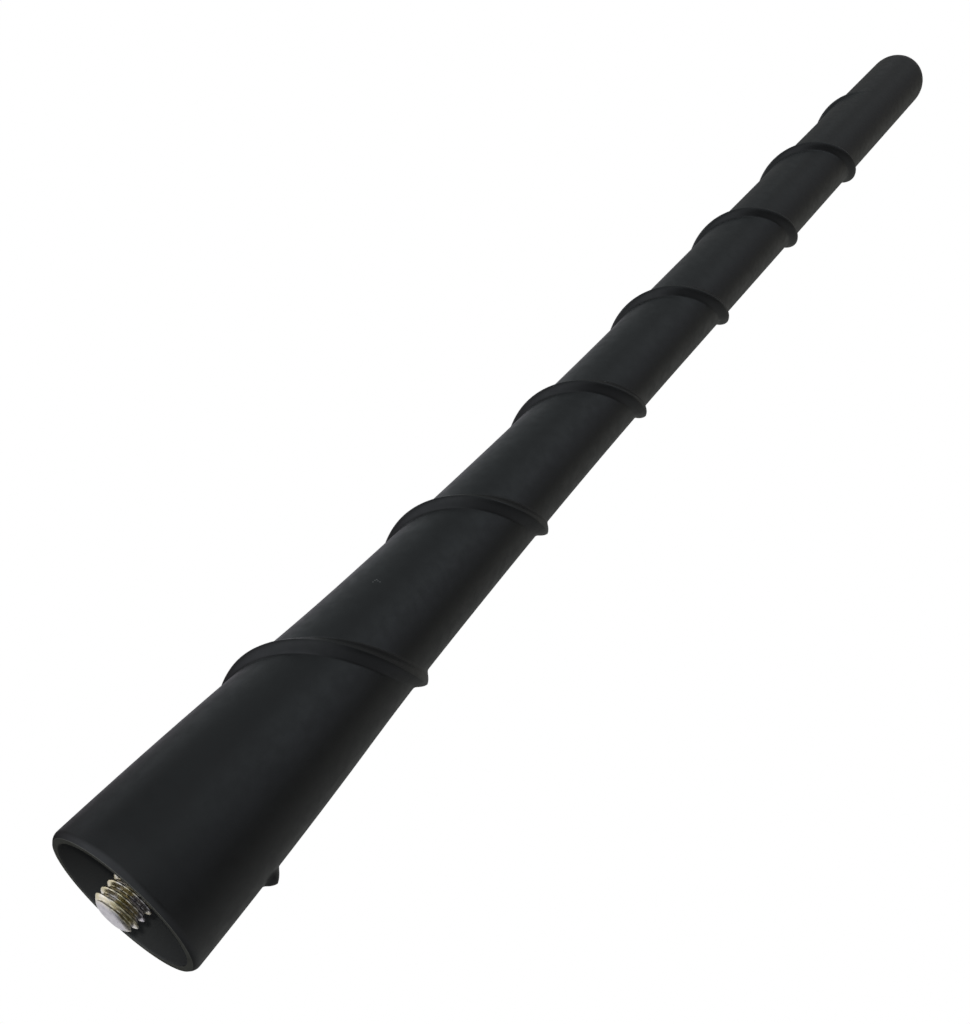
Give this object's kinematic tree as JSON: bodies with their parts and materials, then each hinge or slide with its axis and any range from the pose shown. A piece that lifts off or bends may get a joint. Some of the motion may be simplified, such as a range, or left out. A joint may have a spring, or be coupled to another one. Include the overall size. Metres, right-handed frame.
{
  "type": "car mast aerial",
  "caption": "Short flexible car aerial mast: flared black rubber jacket with a helical rib and a domed tip, and a threaded stud in its hollow foot.",
  "frame": {"origin": "middle of the foot's rim, on the axis of the mast and its stud", "axes": "+Z along the mast from its foot to its tip; the side towards -Y is the one the picture shows"},
  "size_m": [0.0186, 0.0182, 0.2154],
  "materials": {
    "rubber": "satin moulded rubber",
    "plated_brass": "bright plated",
    "glass_fibre": "resin",
    "copper_wire": "varnished copper"
  },
  "bodies": {
    "root": {"rubber_jacket": "rubber", "threaded_stud": "plated_brass", "core_rod": "glass_fibre", "coil_winding": "copper_wire"}
  },
  "joints": []
}
